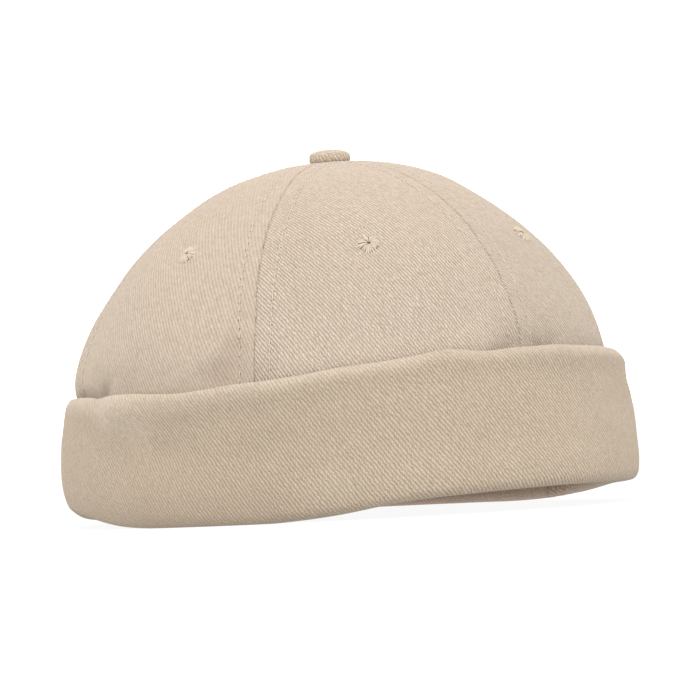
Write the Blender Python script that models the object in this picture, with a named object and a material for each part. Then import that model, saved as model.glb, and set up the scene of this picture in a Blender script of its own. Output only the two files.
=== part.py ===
"""A brimless docker cap: six crown panels, a covered button, six eyelets and a turned-up cuff.

Metres, +Z up. The cap rests on z = 0 as it would by itself. Its front faces -Y, and the origin is on the
surface under the middle of the whole cap. Angles run round the head in degrees: 0 at the front, 90 on the +X
side, which is the wearer's left, and 180 at the back. A rise is a latitude on the crown in degrees: 0 on
the line where the crown is widest, 90 at the button, and below 0 on the hidden skirt inside the cuff.
"""

from collections import namedtuple
from math import cos, degrees, exp, hypot, pi, radians, sin

import bmesh
import bpy
from mathutils import Vector

# Walls and gaps
CLOTH = 0.0014
CUFF_CLOTH = 0.0024
GAP = 0.0003

# The crown's outer face
CROWN_BACK = 0.0024
CROWN_RIGHT = 0.0005
HALF_LENGTH = 0.0970
HALF_WIDTH = 0.0878
WIDEST_HEIGHT = 0.0357
WIDEST_TILT = 0.0039
APEX_HEIGHT = 0.1196
APEX_FORWARD = 0.0016
APEX_LEFT = 0.0006
DOME_FULLNESS = 1.90
TOP_RISE = 88.3
PANEL_PUFF = 0.0007
RISE_LENGTH = 0.00156
ANGLE_LENGTH = 0.00161
FOLD_FADE = 5.0

# The cuff and the band that turns up inside it
FOLD_WIDTH = 0.0070
SKIRT_GAP = 0.0008
SKIRT_LIFT = 0.0085
BAND_HEIGHT = 0.0280
FOLD_FLOOR = 0.0022
REST_WIDTH = 0.0024
REST_SHARE = 0.66
INNER_ROUND = 0.0040
FLOOR_SHARES = (0.3, 0.7)

# The rounded top edge of the cuff: how far each corner is below the top and in from the outer face
SHOULDER = (
    (0.0012, 0.0024),
    (0.0003, 0.0021),
    (0.0000, 0.0016),
    (0.0007, 0.0008),
    (0.0021, 0.0002),
)
FACE_TOP = 0.0040
FACE_SHARES = (0.78, 0.64, 0.50, 0.36)
OUTER_TURNS = (0, 22, 44, 66)
INNER_TURNS = (60, 30)

# The button, turned about its own axis
BUTTON_RADIUS = 0.0069
BUTTON_HEIGHT = 0.0042
BUTTON_EDGE = 0.0017
SHANK_RADIUS = 0.0016
WASHER_RADIUS = 0.0050
WASHER_THICKNESS = 0.0008
WASHER_GAP = 0.0008
EDGE_TURNS = (-60, -20, 20, 55)
DOME_TURNS = (35, 65)

# The eyelets, turned about the crown's normal
EYELET_RADIUS = 0.0043
EYELET_HOLE = 0.0007
EYELET_PROUD = 0.0007
EYELET_NECK = 0.0023
EYELET_BACK = 0.0033

# How finely the meshes are cut
PANEL_COLUMNS = 13
SKIRT_ROWS = 3
DOME_ROWS = 12
CUFF_SECTIONS = 72
BUTTON_SIDES = 24
EYELET_SIDES = 12
SHARP_ANGLE = 40

# Colours from the cloth, linear RGB
CLOTH_COLOUR = (0.680, 0.571, 0.458, 1.0)
THREAD_COLOUR = (0.730, 0.630, 0.520, 1.0)
CLOTH_ROUGHNESS = 0.92

# Seams between the panels. Each meets the button turned by `turn` degrees from its angle at the cuff.
Seam = namedtuple("Seam", "angle turn")
SEAMS = (
    Seam(-180, 0),
    Seam(-120, -2),
    Seam(-60, -4),
    Seam(0, 0),
    Seam(60, 4),
    Seam(120, 2),
    Seam(180, 0),
)

# One row a panel, from one seam to the next, named after the wearer's sides
Panel = namedtuple("Panel", "name eyelet_angle eyelet_rise")
PANELS = (
    Panel("back_right", -150.0, 40.0),
    Panel("side_right", -85.8, 40.6),
    Panel("front_right", -33.0, 39.2),
    Panel("front_left", 21.2, 40.4),
    Panel("side_left", 90.0, 40.0),
    Panel("back_left", 150.0, 40.0),
)

# The cuff round the head: how far its fold is off the surface, the height of its top edge, how far its outer
# face stands out from the widest line of the crown at three levels, and how high its bottom edge is rounded
Station = namedtuple("Station", "angle lift top out_low out_mid out_top rounding")
CUFF = (
    Station(-180, 0.0000, 0.0406, 0.0064, 0.0060, 0.0030, 0.0070),
    Station(-150, 0.0023, 0.0420, 0.0046, 0.0046, 0.0025, 0.0090),
    Station(-130, 0.0061, 0.0436, 0.0034, 0.0037, 0.0007, 0.0120),
    Station(-115, 0.0047, 0.0441, 0.0032, 0.0038, 0.0015, 0.0115),
    Station(-95, 0.0008, 0.0442, 0.0032, 0.0033, 0.0040, 0.0090),
    Station(-75, 0.0000, 0.0441, 0.0034, 0.0036, 0.0045, 0.0060),
    Station(-60, 0.0000, 0.0458, 0.0042, 0.0044, 0.0046, 0.0045),
    Station(-45, 0.0017, 0.0483, 0.0062, 0.0061, 0.0046, 0.0040),
    Station(-30, 0.0052, 0.0510, 0.0084, 0.0078, 0.0045, 0.0040),
    Station(-15, 0.0067, 0.0525, 0.0104, 0.0090, 0.0051, 0.0040),
    Station(0, 0.0074, 0.0529, 0.0114, 0.0096, 0.0055, 0.0040),
    Station(15, 0.0074, 0.0525, 0.0112, 0.0096, 0.0056, 0.0040),
    Station(30, 0.0070, 0.0513, 0.0099, 0.0088, 0.0052, 0.0040),
    Station(45, 0.0065, 0.0492, 0.0079, 0.0077, 0.0046, 0.0050),
    Station(60, 0.0054, 0.0473, 0.0061, 0.0064, 0.0040, 0.0055),
    Station(75, 0.0026, 0.0459, 0.0048, 0.0058, 0.0037, 0.0060),
    Station(90, 0.0006, 0.0448, 0.0042, 0.0054, 0.0036, 0.0070),
    Station(110, 0.0000, 0.0436, 0.0042, 0.0054, 0.0033, 0.0070),
    Station(135, 0.0000, 0.0424, 0.0051, 0.0057, 0.0032, 0.0080),
    Station(160, 0.0000, 0.0412, 0.0063, 0.0061, 0.0032, 0.0070),
)

# Dents (depth below 0) and ridges of the crown, each along a line between two places on it
Fold = namedtuple("Fold", "from_angle from_height to_angle to_height width depth")
CROWN_FOLDS = (
    Fold(50, 42, 50, 48, 0.0150, -0.0039),
    Fold(50, 68, 45, 72, 0.0120, 0.0005),
    Fold(-130, 36, -130, 52, 0.0160, -0.0012),
    Fold(-130, 76, -140, 78, 0.0120, -0.0007),
    Fold(-138, 5, -118, 5, 0.0080, -0.0017),
    Fold(-106, 11, -101, 5, 0.0050, -0.0012),
    Fold(-73, 21, -70, 6, 0.0040, 0.0007),
    Fold(-65, 7, -62, 22, 0.0060, -0.0015),
    Fold(-4, 11, 10, 11, 0.0055, -0.0020),
    Fold(25, 29, 31, 17, 0.0050, -0.0007),
)

# The same on the cuff's outer face, where a height runs from 0 at the fold to 1 at the top edge
CUFF_FOLDS = (
    Fold(-95, 0.54, -84, 0.80, 0.0065, -0.0009),
    Fold(-84, 0.80, -60, 0.85, 0.0060, -0.0011),
    Fold(-102, 0.97, -98, 0.97, 0.0040, -0.0008),
)


def cloth_material(name, colour):
    """A matt cloth or thread of one colour."""
    material = bpy.data.materials.new(name)
    material.use_nodes = True
    shader = material.node_tree.nodes["Principled BSDF"]
    shader.inputs["Base Color"].default_value = colour
    shader.inputs["Roughness"].default_value = CLOTH_ROUGHNESS
    shader.inputs["Metallic"].default_value = 0.0
    material.diffuse_color = colour
    return material


def new_object(name, mesh, material):
    """An object of its own for a mesh, shaded smooth but for its sharp edges."""
    mesh.materials.append(material)
    mesh.shade_smooth()
    mesh.set_sharp_from_angle(angle=radians(SHARP_ANGLE))
    piece = bpy.data.objects.new(name, mesh)
    bpy.context.scene.collection.objects.link(piece)
    return piece


def round_the_head(column, angle):
    """The cuff's value in one column at any angle, on a smooth curve through the rows."""
    count = len(CUFF)
    angle = (angle + 180) % 360 - 180
    here = max(i for i in range(count) if CUFF[i].angle <= angle)
    rows = [CUFF[(here + step) % count] for step in (-1, 0, 1, 2)]
    places = [row.angle for row in rows]
    if here == 0:
        places[0] -= 360
    if here >= count - 2:
        places[3] += 360
    if here == count - 1:
        places[2] += 360
    values = [getattr(row, column) for row in rows]
    slopes = [(values[i + 1] - values[i - 1]) / (places[i + 1] - places[i - 1]) for i in (1, 2)]
    span = places[2] - places[1]
    s = (angle - places[1]) / span
    start = (1 + 2 * s) * (1 - s) ** 2 * values[1] + s * (1 - s) ** 2 * span * slopes[0]
    end = s * s * (3 - 2 * s) * values[2] - s * s * (1 - s) * span * slopes[1]
    return start + end


def fold_lift(angle):
    """How far the cuff's fold is off the surface."""
    return max(0.0, round_the_head("lift", angle))


def smooth_step(share):
    """0 to 1 with no slope at either end."""
    share = min(max(share, 0.0), 1.0)
    return share * share * (3 - 2 * share)


def fold_depth(folds, angle, height, angle_length, height_length):
    """The sum of the dents and ridges at a place, each fading on both sides of its line."""
    total = 0.0
    for fold in folds:
        turn = (angle - fold.from_angle + 180) % 360 - 180
        x, y = turn * angle_length, (height - fold.from_height) * height_length
        line_x = (fold.to_angle - fold.from_angle) * angle_length
        line_y = (fold.to_height - fold.from_height) * height_length
        along = min(max((x * line_x + y * line_y) / (line_x ** 2 + line_y ** 2), 0.0), 1.0)
        away = hypot(x - along * line_x, y - along * line_y)
        total += fold.depth * exp(-(away / fold.width) ** 2)
    return total


def seam_angle(seam, rise):
    """The angle of a seam at a rise."""
    return seam.angle + seam.turn * smooth_step(rise / 90)


def panel_puff(angle, rise):
    """How far the cloth stands out between two seams."""
    for left, right in zip(SEAMS, SEAMS[1:]):
        low, high = seam_angle(left, rise), seam_angle(right, rise)
        if low <= angle <= high:
            return PANEL_PUFF * sin(pi * (angle - low) / (high - low)) * sin(radians(2 * max(rise, 0)))
    return 0.0


def widest_height(angle):
    """The height of the crown's widest line, a little higher at the front."""
    return WIDEST_HEIGHT + WIDEST_TILT * cos(radians(angle))


def crown_centre(height):
    """The middle of the crown's widest line, at any height."""
    return Vector((-CROWN_RIGHT, CROWN_BACK, height))


def widest_place(angle):
    """A point on the crown's widest line, seen from above and from its middle, and the outward direction."""
    turn = radians(angle)
    place = Vector((HALF_WIDTH * sin(turn), -HALF_LENGTH * cos(turn), 0.0))
    outward = Vector((sin(turn) / HALF_WIDTH, -cos(turn) / HALF_LENGTH, 0.0)).normalized()
    return place, outward


def skirt_out(angle, height):
    """How far the crown's skirt leans out from the widest line, down towards the fold."""
    fold = fold_lift(angle)
    down = (widest_height(angle) - height) / (widest_height(angle) - fold)
    lean = round_the_head("out_low", angle) - CUFF_CLOTH - SKIRT_GAP
    return lean * down


def crown_base(angle, rise):
    """The crown's outer face before its folds."""
    wide, outward = widest_place(angle)
    low = widest_height(angle)
    if rise < 0:
        height = low + rise * RISE_LENGTH
        return crown_centre(height) + wide + outward * skirt_out(angle, height)
    up = sin(radians(rise)) ** (2 / DOME_FULLNESS)
    place = wide * cos(radians(rise)) + Vector((APEX_LEFT, -APEX_FORWARD, 0)) * up
    return crown_centre(low + (APEX_HEIGHT - low) * up) + place


def normal_of(surface, angle, rise, step=0.5):
    """The outward normal of a crown surface."""
    across = surface(angle + step, rise) - surface(angle - step, rise)
    upward = surface(angle, rise + step) - surface(angle, rise - step)
    return across.cross(upward).normalized()


def crown_outer(angle, rise):
    """The crown's outer face with its folds and the swell of each panel."""
    angle_length = ANGLE_LENGTH * cos(radians(max(rise, 0)))
    shift = fold_depth(CROWN_FOLDS, angle, rise, angle_length, RISE_LENGTH) + panel_puff(angle, rise)
    return crown_base(angle, rise) + normal_of(crown_base, angle, rise) * shift * smooth_step(rise / FOLD_FADE)


def skirt_rise(angle):
    """The rise of the crown's lower edge, hidden inside the cuff."""
    return (fold_lift(angle) + SKIRT_LIFT - widest_height(angle)) / RISE_LENGTH


def panel_place(left, right, column, row):
    """The angle and rise of one corner of a panel's grid."""
    middle = (left.angle + right.angle) / 2
    if row < SKIRT_ROWS:
        share = row / SKIRT_ROWS
        angle = left.angle + (right.angle - left.angle) * column / PANEL_COLUMNS
        rise = skirt_rise(angle) * (1 - share)
    else:
        rise = TOP_RISE * (row - SKIRT_ROWS) / DOME_ROWS
        low, high = seam_angle(left, rise), seam_angle(right, rise)
        angle = low + (high - low) * column / PANEL_COLUMNS
    radius = widest_place(angle)[0].length * cos(radians(max(rise, 0)))
    half_gap = degrees(GAP / 2 / radius)
    if column in (0, PANEL_COLUMNS):
        angle += half_gap if angle < middle else -half_gap
    return angle, rise


def panel_mesh(name, left, right):
    """One panel: an outer and an inner sheet of quads, closed round their edge."""
    mesh = bmesh.new()
    rows = SKIRT_ROWS + DOME_ROWS
    outer, inner = [], []
    for row in range(rows + 1):
        for column in range(PANEL_COLUMNS + 1):
            angle, rise = panel_place(left, right, column, row)
            place = crown_outer(angle, rise)
            outer.append(mesh.verts.new(place))
            inner.append(mesh.verts.new(place - normal_of(crown_outer, angle, rise) * CLOTH))
    width = PANEL_COLUMNS + 1

    def quad(sheet, row, column):
        corner = row * width + column
        return [sheet[corner], sheet[corner + 1], sheet[corner + width + 1], sheet[corner + width]]

    for row in range(rows):
        for column in range(PANEL_COLUMNS):
            mesh.faces.new(quad(outer, row, column))
            mesh.faces.new(reversed(quad(inner, row, column)))
    bottom = list(range(width))
    side = [row * width + PANEL_COLUMNS for row in range(1, rows + 1)]
    top = [rows * width + column for column in range(PANEL_COLUMNS - 1, -1, -1)]
    back = [row * width for row in range(rows - 1, 0, -1)]
    edge = bottom + side + top + back
    for here, there in zip(edge, edge[1:] + edge[:1]):
        mesh.faces.new((outer[there], outer[here], inner[here], inner[there]))
    data = bpy.data.meshes.new(name)
    mesh.to_mesh(data)
    mesh.free()
    return data


def turned_mesh(name, profile, sides):
    """A closed profile of (radius, height) corners, turned about the upright axis."""
    mesh = bmesh.new()
    rings = []
    for radius, height in profile:
        if radius == 0:
            rings.append([mesh.verts.new((0, 0, height))] * sides)
            continue
        turns = [2 * pi * side / sides for side in range(sides)]
        rings.append([mesh.verts.new((radius * cos(t), radius * sin(t), height)) for t in turns])
    pairs = list(zip(rings, rings[1:]))
    if profile[0][0] > 0:
        pairs.append((rings[-1], rings[0]))
    for low, high in pairs:
        for side in range(sides):
            after = (side + 1) % sides
            corners = dict.fromkeys((low[side], low[after], high[after], high[side]))
            mesh.faces.new(list(corners))
    data = bpy.data.meshes.new(name)
    mesh.to_mesh(data)
    mesh.free()
    return data


def button_profile():
    """A cloth-covered dome over the panels' tips, its shank, and the washer under the cloth."""
    foot = GAP
    under = -CLOTH - WASHER_GAP
    edge = [
        (BUTTON_RADIUS - BUTTON_EDGE * (1 - cos(radians(turn))), foot + BUTTON_EDGE * (1 + sin(radians(turn))))
        for turn in EDGE_TURNS
    ]
    dome_low = edge[-1][1]
    dome = [
        (edge[-1][0] * cos(radians(turn)), dome_low + (BUTTON_HEIGHT - dome_low) * sin(radians(turn)))
        for turn in DOME_TURNS
    ]
    low = under - WASHER_THICKNESS
    washer = [(0, low), (WASHER_RADIUS, low), (WASHER_RADIUS, under), (SHANK_RADIUS, under)]
    foot_edge = (BUTTON_RADIUS - BUTTON_EDGE, foot)
    return washer + [(SHANK_RADIUS, foot), foot_edge] + edge + dome + [(0, BUTTON_HEIGHT)]


def eyelet_profile():
    """A ring of thread on the cloth, its neck in the panel's hole, and its smaller back."""
    back = -CLOTH - 2 * GAP
    middle = (EYELET_RADIUS + EYELET_HOLE) / 2
    return [
        (EYELET_HOLE, back),
        (EYELET_BACK, back),
        (EYELET_BACK, back + GAP),
        (EYELET_NECK, back + GAP),
        (EYELET_NECK, GAP),
        (EYELET_RADIUS, GAP),
        (middle, GAP + EYELET_PROUD),
        (EYELET_HOLE, GAP + EYELET_PROUD / 2),
    ]


def cuff_face(angle, height):
    """How far the cuff's outer face stands out without its folds. A height runs from 0 at the bottom fold to 1
    at the top edge."""
    low, middle, high = (round_the_head(column, angle) for column in ("out_low", "out_mid", "out_top"))
    bow = 4 * (middle - (low + high) / 2) * height * (1 - height)
    return low + (high - low) * height + bow


def cuff_outer(angle, height, inward=0.0):
    """The cuff's outer face with its folds, which fade out towards its inner face."""
    tall = round_the_head("top", angle) - fold_lift(angle)
    dent = fold_depth(CUFF_FOLDS, angle, height, ANGLE_LENGTH, tall)
    return cuff_face(angle, height) - inward + dent * (1 - inward / CUFF_CLOTH)


def cuff_section(angle):
    """The cuff's closed section as (out, height) corners: down its outer face, under the fold, up the band
    inside, and back down and up the slot that holds the crown's skirt."""
    fold = fold_lift(angle)
    top = round_the_head("top", angle)
    tall = top - fold
    rounding = round_the_head("rounding", angle)
    low_out = cuff_outer(angle, 0)
    rest_out = low_out - FOLD_WIDTH * REST_SHARE + REST_WIDTH / 2
    rest_in = rest_out - REST_WIDTH
    band_in = low_out - FOLD_WIDTH
    face = (1 - FACE_TOP / tall,) + FACE_SHARES
    corners = [(cuff_outer(angle, 1 - down / tall, inward), top - down) for down, inward in SHOULDER]
    corners += [(cuff_outer(angle, share), fold + share * tall) for share in face]
    side_out = cuff_outer(angle, rounding / tall)
    for turn in OUTER_TURNS:
        out = rest_out + (side_out - rest_out) * cos(radians(turn))
        corners.append((out, fold + rounding * (1 - sin(radians(turn)))))
    corners += [(rest_out, fold), (rest_in, fold)]
    for turn in INNER_TURNS:
        out = band_in + (rest_in - band_in) * (1 - cos(radians(turn)))
        corners.append((out, fold + INNER_ROUND * (1 - sin(radians(turn)))))
    band = [fold + INNER_ROUND, fold + (INNER_ROUND + BAND_HEIGHT) / 2, fold + BAND_HEIGHT]
    corners += [(skirt_out(angle, height) - 2 * CLOTH - GAP, height) for height in band]
    corners += [(skirt_out(angle, height) - CLOTH - GAP, height) for height in reversed(band)]
    floor_in = corners[-1][0]
    floor_out = cuff_outer(angle, SKIRT_LIFT / tall, CUFF_CLOTH)
    corners += [(floor_in + (floor_out - floor_in) * share, fold + FOLD_FLOOR) for share in FLOOR_SHARES]
    for share in (SKIRT_LIFT / tall,) + face[::-1]:
        corners.append((cuff_outer(angle, share, CUFF_CLOTH), fold + share * tall))
    return corners


def cuff_mesh(name):
    """The cuff as one ring of sections."""
    mesh = bmesh.new()
    rings = []
    for number in range(CUFF_SECTIONS):
        angle = -180 + 360 * number / CUFF_SECTIONS
        place, outward = widest_place(angle)
        section = cuff_section(angle)
        rings.append([mesh.verts.new(crown_centre(height) + place + outward * out) for out, height in section])
    for ring, after in zip(rings, rings[1:] + rings[:1]):
        for i in range(len(ring)):
            j = (i + 1) % len(ring)
            mesh.faces.new((ring[i], ring[j], after[j], after[i]))
    data = bpy.data.meshes.new(name)
    mesh.to_mesh(data)
    mesh.free()
    return data


def place_on_crown(piece, angle, rise):
    """Stands a turned piece on the crown, its axis along the crown's normal."""
    piece.location = crown_outer(angle, rise)
    piece.rotation_euler = normal_of(crown_outer, angle, rise).to_track_quat("Z", "Y").to_euler()


def eyelet_cutter(name, angle, rise):
    """The cylinder that cuts an eyelet's hole through a panel."""
    radius = EYELET_NECK + GAP
    profile = [(0, -3 * CLOTH), (radius, -3 * CLOTH), (radius, 2 * CLOTH), (0, 2 * CLOTH)]
    cutter = bpy.data.objects.new(name, turned_mesh(name, profile, EYELET_SIDES))
    bpy.context.scene.collection.objects.link(cutter)
    place_on_crown(cutter, angle, rise)
    cutter.hide_render = True
    cutter.display_type = "WIRE"
    return cutter


def make_panel(panel, left, right, cloth, thread):
    """A crown panel with its eyelet."""
    piece = new_object("panel_" + panel.name, panel_mesh("panel_" + panel.name, left, right), cloth)
    cut = piece.modifiers.new("eyelet_hole", "BOOLEAN")
    cut.operation = "DIFFERENCE"
    cut.object = eyelet_cutter("cutter_" + panel.name, panel.eyelet_angle, panel.eyelet_rise)
    name = "eyelet_" + panel.name
    eyelet = new_object(name, turned_mesh(name, eyelet_profile(), EYELET_SIDES), thread)
    place_on_crown(eyelet, panel.eyelet_angle, panel.eyelet_rise)


def make_button(cloth):
    """The covered button over the panels' tips."""
    button = new_object("button", turned_mesh("button", button_profile(), BUTTON_SIDES), cloth)
    button.location = crown_centre(APEX_HEIGHT) + Vector((APEX_LEFT, -APEX_FORWARD, 0))


def main():
    for old in list(bpy.data.objects):
        bpy.data.objects.remove(old)
    cloth = cloth_material("cotton_twill", CLOTH_COLOUR)
    thread = cloth_material("eyelet_thread", THREAD_COLOUR)
    for panel, left, right in zip(PANELS, SEAMS, SEAMS[1:]):
        make_panel(panel, left, right, cloth, thread)
    make_button(cloth)
    new_object("cuff", cuff_mesh("cuff"), cloth)


main()
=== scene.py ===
"""The looks of a docker cap in brushed cotton twill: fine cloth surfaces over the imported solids, with
sewn seams, topstitches, thread eyelets, a covered button, a pale floor, soft light and the camera.

Sizes are in metres, and the front faces -Y. Angles run round the head in degrees: 0 at the front, 90 on
the wearer's left (+X). A rise is a latitude on the crown in degrees: 0 where it is widest, 90 at the
button, and below 0 on the hidden skirt inside the cuff.
"""

from collections import namedtuple

import bpy
import numpy as np
from mathutils import Matrix, Vector


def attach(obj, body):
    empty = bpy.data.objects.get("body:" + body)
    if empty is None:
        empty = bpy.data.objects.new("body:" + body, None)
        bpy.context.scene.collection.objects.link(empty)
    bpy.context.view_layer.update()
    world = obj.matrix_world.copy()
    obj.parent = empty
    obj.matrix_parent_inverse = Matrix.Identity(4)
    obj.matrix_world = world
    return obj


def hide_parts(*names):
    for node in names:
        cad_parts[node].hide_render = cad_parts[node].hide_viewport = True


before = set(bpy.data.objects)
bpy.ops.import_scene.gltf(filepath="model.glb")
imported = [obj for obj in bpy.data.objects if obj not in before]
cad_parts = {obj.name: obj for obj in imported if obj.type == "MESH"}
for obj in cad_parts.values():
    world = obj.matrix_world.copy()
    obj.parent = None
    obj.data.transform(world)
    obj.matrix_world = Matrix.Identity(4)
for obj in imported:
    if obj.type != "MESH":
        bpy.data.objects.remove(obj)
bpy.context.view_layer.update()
MM = 0.001

# Walls, and the crown's outer face, as in the solids
CLOTH = 0.0014
CUFF_CLOTH = 0.0024
GAP = 0.0003
CROWN_BACK = 0.0024
CROWN_RIGHT = 0.0005
HALF_LENGTH = 0.0970
HALF_WIDTH = 0.0878
WIDEST_HEIGHT = 0.0357
WIDEST_TILT = 0.0039
APEX_HEIGHT = 0.1196
APEX_FORWARD = 0.0016
APEX_LEFT = 0.0006
DOME_FULLNESS = 1.90
TOP_RISE = 88.3
PANEL_PUFF = 0.0007
RISE_LENGTH = 0.00156
ANGLE_LENGTH = 0.00161
FOLD_FADE = 5.0

# The cuff and the band inside it, as in the solids
FOLD_WIDTH = 0.0070
SKIRT_GAP = 0.0008
SKIRT_LIFT = 0.0085
BAND_HEIGHT = 0.0280
FOLD_FLOOR = 0.0022
REST_WIDTH = 0.0024
REST_SHARE = 0.66
INNER_ROUND = 0.0040
FLOOR_SHARES = (0.3, 0.7)
FACE_TOP = 0.0040
FACE_SHARES = (0.78, 0.64, 0.50, 0.36)
OUTER_TURNS = (0, 22, 44, 66)
INNER_TURNS = (60, 30)

# The rounded top edge of the cuff: how far each corner is below the top and in from the outer face
SHOULDER = ((0.0012, 0.0024), (0.0003, 0.0021), (0.0000, 0.0016), (0.0007, 0.0008), (0.0021, 0.0002))

# The corner of the cuff's section from which the cloth shows its reverse
BAND_START = 15

# The button
BUTTON_RADIUS = 0.0069
BUTTON_HEIGHT = 0.0042
BUTTON_WALL = 0.0021
BUTTON_SWELL = 0.018
BUTTON_TUCK = 0.045
BUTTON_SEAT = 0.00008
GATHERS = 19
GATHER_DEPTH = 0.00010

# The button's underside, its shank and its washer
FOOT_RADII = (0.0050, 0.0016, 0.0016, 0.0050, 0.0050)
FOOT_HEIGHTS = (-0.0004, -0.0004, -0.0022, -0.0022, -0.0030)

# The eyelets: their stitches, how unevenly these turn, reach and lie, and the pull on the cloth
EYELET_RADIUS = 0.0038
EYELET_HOLE = 0.00046
EYELET_STITCHES = 26
EYELET_THREAD = 0.00035
CROWDING = 0.96
TURN_SPREAD = 0.16
REACH_SPREAD = 0.10
LIE_HEIGHT = 0.00036
LIE_SPREAD = 0.00012
LIE_DEPTH = 0.00016
DRAWN_DEPTH = 0.00035
DRAWN_WIDTH = 0.0052

# The ring under an eyelet's stitches, coloured dark as painted shade, from its hole outwards, and the
# rows of its top
RING_RADII = (0.00036, 0.00055, 0.00100, 0.00180, 0.00270, 0.00350, 0.00350, 0.00280, 0.00090)
RING_HEIGHTS = (0.00045, 0.00074, 0.00080, 0.00062, 0.00030, 0.00002, -0.0016, -0.0019, -0.0018)
RING_TOP = slice(1, 6)

# The seams: their valley, the ridge over their allowances, and how flat both are near the button
SEAM_DEPTH = 0.00020
SEAM_HALF_WIDTH = 0.00030
RIDGE_HEIGHT = 0.00020
RIDGE_START = 0.0010
RIDGE_END = 0.0054
RIDGE_FADE = 0.0022
BUTTON_PRESS = 0.7
PRESS_RISE = 80.0
RELIEF_FADE = 6.0
ALLOWANCE_WIDTH = 0.0072
ALLOWANCE_FADE = 0.0006
ALLOWANCE_DEPTH = 0.0009
ALLOWANCE_TOP = 84.0

# The topstitches: how far they are from their seam, how they pull the cloth in, and how uneven they are
TOPSTITCH_OUT = 0.0056
PULL_DEPTH = 0.00026
PULL_WIDTH = 0.0011
STITCH_PITCH = 0.0030
STITCH_LENGTH = 0.0022
STITCH_SPREAD = 0.06
STITCH_SWAY = 0.00008
THREAD_RADIUS = 0.00022
NEEDLE_HOLE = 0.00034
NEEDLE_PLACE = 0.86
STITCH_LOW_RISE = 4.0
STITCH_TOP_RISE = 82.0

# The distance to a seam on a piece without one
NO_SEAM = 0.5

# Wear of the crown: how far its top is rubbed pale and the nap hides its ribs, from 0 to 1, and how much
# its fine dents are darkened as painted shade for each metre of depth
RUBBED_TOP = 0.04
RUBBED_RISE = 52.0
NAP_TOP = 0.55
NAP_RISE = 38.0
TOP_FADE = 26.0
DENT_SHADE = 80.0

# Painted light on the cuff, from 0 to 1: how far its top edge is lightened as a painted highlight, and
# how far its hem is darkened as painted shade where it rests
EDGE_HIGHLIGHT = 0.26
EDGE_HIGHLIGHT_WIDTH = 0.0030
HEM_SHADE = 0.17
HEM_SHADE_SHARE = 0.45
HEM_SHADE_LIFT = 0.0050

# The twill: the distance between its ribs, their direction, how far they bend and wander, the distance
# between the yarns that cross them, its depth, and how high it stands under the nap, from 0 to 1
RIB_PITCH = 0.00107
RIB_ANGLE = 123.0
RIB_BEND = 0.6
RIB_JITTER = 0.42
YARN_PITCH = 0.00052
TWILL_BUMP = 0.00030
NAP_HEIGHT = 0.165

# How fine the cloth's fuzz, slubs and blotches are
FUZZ_SCALE = 2600.0
SLUB_SCALE = 620.0
BLOTCH_SCALE = 26.0

# How far from a seam its dark line of painted shade fades, and how far up the crown the line gets fainter
SEAM_LINE = (0.00003, 0.00040)
SEAM_FAINT = (0.06, 0.11)

# One unit of the UV maps, which keep the cloth's own lengths
UV_UNIT = 0.01

# Colours of the cloth on its ribs and between them, where the gaps' dark is partly the weave's own tone
# and partly painted shade; in blotches; worn pale by wear and lit by painted highlight; and in painted
# shade in creases, seams and needle holes. The cuff's copy is darker as painted shade, the button's
# lighter as painted highlight, and the reverse's partly its own tone and partly lightened as painted
# light. Then the threads, the eyelets' ring and hole in painted shade, and the floor
CLOTH_RIB = (0.561, 0.479, 0.397, 1)
CLOTH_GAP = (0.259, 0.202, 0.155, 1)
CLOTH_BLOTCH = (0.392, 0.320, 0.252, 1)
CLOTH_HIGHLIT_AND_WORN = (0.590, 0.510, 0.436, 1)
CUFF_RIB_SHADED = (0.496, 0.414, 0.323, 1)
CUFF_GAP_SHADED = (0.252, 0.193, 0.137, 1)
BUTTON_RIB_LIT = (0.600, 0.510, 0.410, 1)
BUTTON_GAP_LIT = (0.300, 0.235, 0.175, 1)
REVERSE_RIB_LIT = (0.585, 0.465, 0.372, 1)
REVERSE_GAP_LIT = (0.380, 0.287, 0.218, 1)
CLOTH_SHADE = (0.150, 0.098, 0.062, 1)
THREAD_LIGHT = (0.620, 0.535, 0.440, 1)
THREAD_DARK = (0.320, 0.255, 0.190, 1)
HOLE_SHADE_LIGHT = (0.250, 0.198, 0.148, 1)
HOLE_SHADE_DARK = (0.150, 0.117, 0.084, 1)
FLOOR_COLOUR = (0.070, 0.070, 0.070, 1)

# How finely the meshes are cut, and the columns next to a seam in millimetres from it
EDGE_STEPS = (0.0, 0.12, 0.26, 0.42, 0.62, 0.9, 1.3, 1.9, 2.7, 3.7, 4.8, 5.3, 5.6, 5.9, 6.4, 7.4, 9.0)
PANEL_COLUMNS = 62
PANEL_ROWS = 150
SKIRT_ROWS = 10
CUFF_SECTIONS = 540
SECTION_STEPS = 4
BUTTON_SIDES = 96
DOME_ROWS = 26
WALL_ROWS = 11
EYELET_SIDES = 40

# The surround's light at the horizon and straight up, and the floor's own light
SURROUND = 2.05
SURROUND_ABOVE = 1.62
SURROUND_COLOUR = (1.0, 0.985, 0.960, 1)
FLOOR_GLOW = 0.93
FLOOR_HALF = 6.0

# The wide soft light: its power, its width in degrees, and how far it leans right and to the camera
OVERHEAD = 1.1
OVERHEAD_COLOUR = (0.97, 0.985, 1.0)
OVERHEAD_ANGLE = 60.0
OVERHEAD_TILT = (0.02, 1.10)

# The photograph's view
AZIMUTH = -39.8
ELEVATION = -0.5
ROLL = 3.12
DISTANCE = 1.843
AIM = (0.0032, -0.0007, 0.0555)
LENS = 279.3
SENSOR = 36.0

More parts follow.
